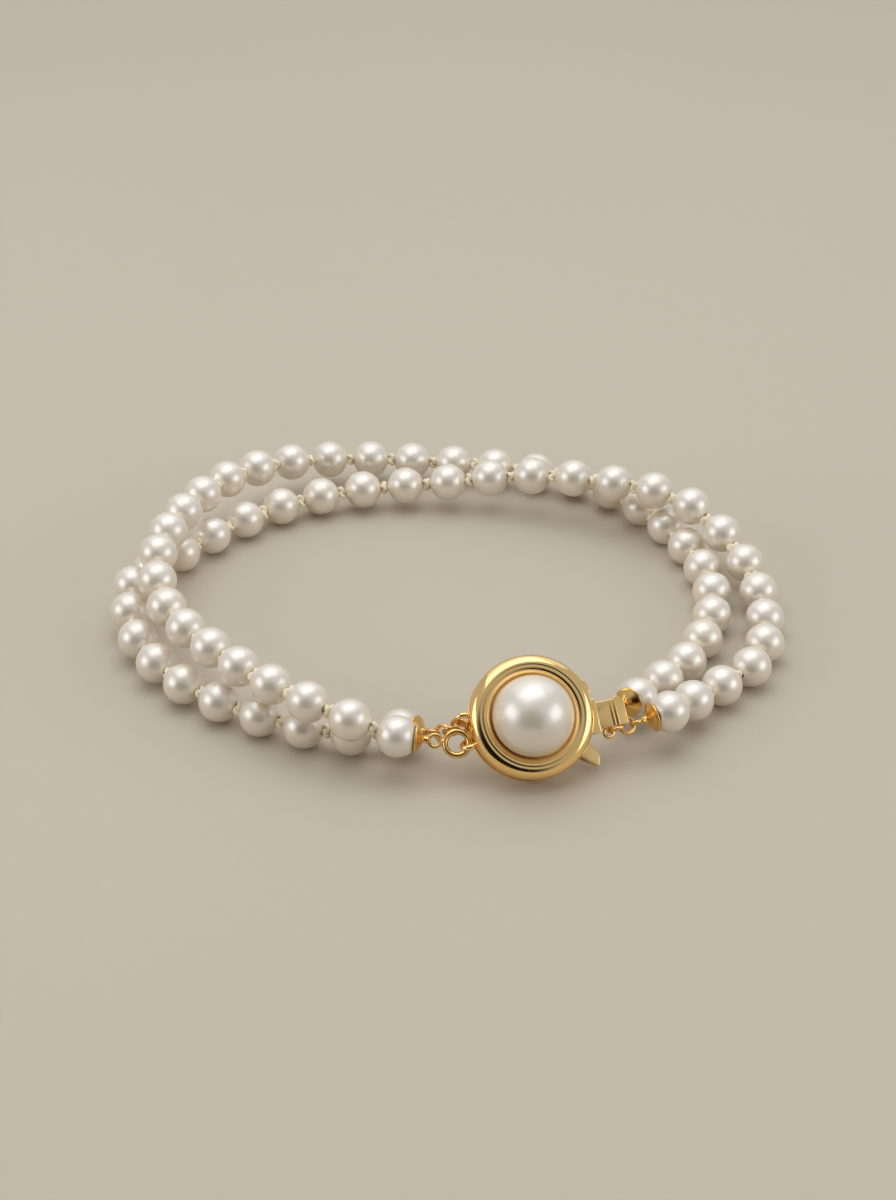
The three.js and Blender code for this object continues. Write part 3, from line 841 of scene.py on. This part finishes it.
def knotMesh():
    # An overhand knot pulled tight: a flat trefoil of thread
    curve = bpy.data.curves.new("knot", "CURVE")
    curve.dimensions = "3D"
    curve.bevel_depth = knotShape["thread"]
    curve.bevel_resolution = 3
    spline = curve.splines.new("POLY")
    spline.points.add(knotShape["steps"] - 1)
    spline.use_cyclic_u = True
    for i, point in enumerate(spline.points):
        t = turn * i / knotShape["steps"]
        reach = knotShape["radius"] / 3
        x = reach * (math.sin(t) + 2 * math.sin(2 * t))
        y = reach * (math.cos(t) - 2 * math.cos(2 * t))
        point.co = (x, y, -knotShape["height"] * math.sin(3 * t), 1)
    holder = bpy.data.objects.new("knot", curve)
    mesh = bpy.data.meshes.new_from_object(holder)
    bpy.data.objects.remove(holder)
    return mesh


def makeKnots(name, silk):
    pearls = strands[name]
    draw = random.Random(knotShape["seed"] + ord(name))
    mesh = knotMesh()
    bm = bmesh.new()
    for first, second in zip(pearls, pearls[1:]):
        gap = second["center"] - first["center"]
        tilt = gap.to_track_quat("Z", "Y").to_matrix().to_4x4()
        middle = Matrix.Translation((first["center"] + second["center"]) / 2)
        spin = Matrix.Rotation(draw.uniform(0, turn), 4, "Z")
        size = Matrix.Diagonal([1 + draw.uniform(-1, 1) * knotShape["uneven"] for _ in range(3)] + [1])
        lean = Matrix.Rotation(draw.uniform(-knotShape["lean"], knotShape["lean"]), 4, "X")
        addMesh(bm, mesh, middle @ tilt @ lean @ spin @ size)
        thread = bmesh.new()
        radius = knotShape["thread"]
        length = gap.length - 2 * first["radius"] + 2 * pearlShape["holeDepth"]
        bmesh.ops.create_cone(
            thread, cap_ends=True, segments=10, radius1=radius, radius2=radius, depth=length
        )
        addShape(bm, thread, middle @ tilt)
    bmesh.ops.transform(bm, matrix=toMetres, verts=bm.verts)
    bmesh.ops.recalc_face_normals(bm, faces=bm.faces)
    piece = toObject("knots_" + name, bm, silk, softFrom)
    finishPiece(piece, "bracelet", "strand_" + name)


def finishPiece(piece, body, node):
    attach(piece, body)
    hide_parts(node)
    print("made", piece.name, len(piece.data.polygons), "faces")


def nearestEnd(node):
    middle = Vector(nodePoints(node).mean(axis=0))
    ends = [pearls[i] for pearls in strands.values() for i in (0, -1)]
    return min(ends, key=lambda pearl: (pearl["center"] - middle).length)


def makeBracelet():
    polished = makeGold("polished_gold", goldLook["polished"], goldLook["polishedGrain"])
    satin = makeGold("satin_gold", goldLook["satin"], goldLook["satinGrain"])
    chain = makeGold("chain_gold", goldLook["satin"], goldLook["polishedGrain"], goldLook["chain"])
    pearlNacre = makeNacre("pearl_nacre", pearlLook["clouds"])
    halfNacre = makeNacre("half_pearl_nacre", pearlLook["halfPearlClouds"])
    silk = makeSilk()
    makeCase(polished)
    makeHalfPearl(halfNacre)
    makeTongue(satin)
    makeLever(satin)
    for node in sorted(frame["nodes"]):
        if node.startswith("end_cup"):
            makeCup(node, nearestEnd(node), chain, node == "end_cup_a_left")
        elif node.startswith("link"):
            makeLink(node, chain)
    for name in strands:
        makePearls(name, pearlNacre)
        makeKnots(name, silk)


makeRoomLight()
for name in ("top", "back", "left", "right"):
    addSoftbox(name)
makeFloor()
print("studio ready")
makeBracelet()
scene.view_settings.view_transform = "Standard"
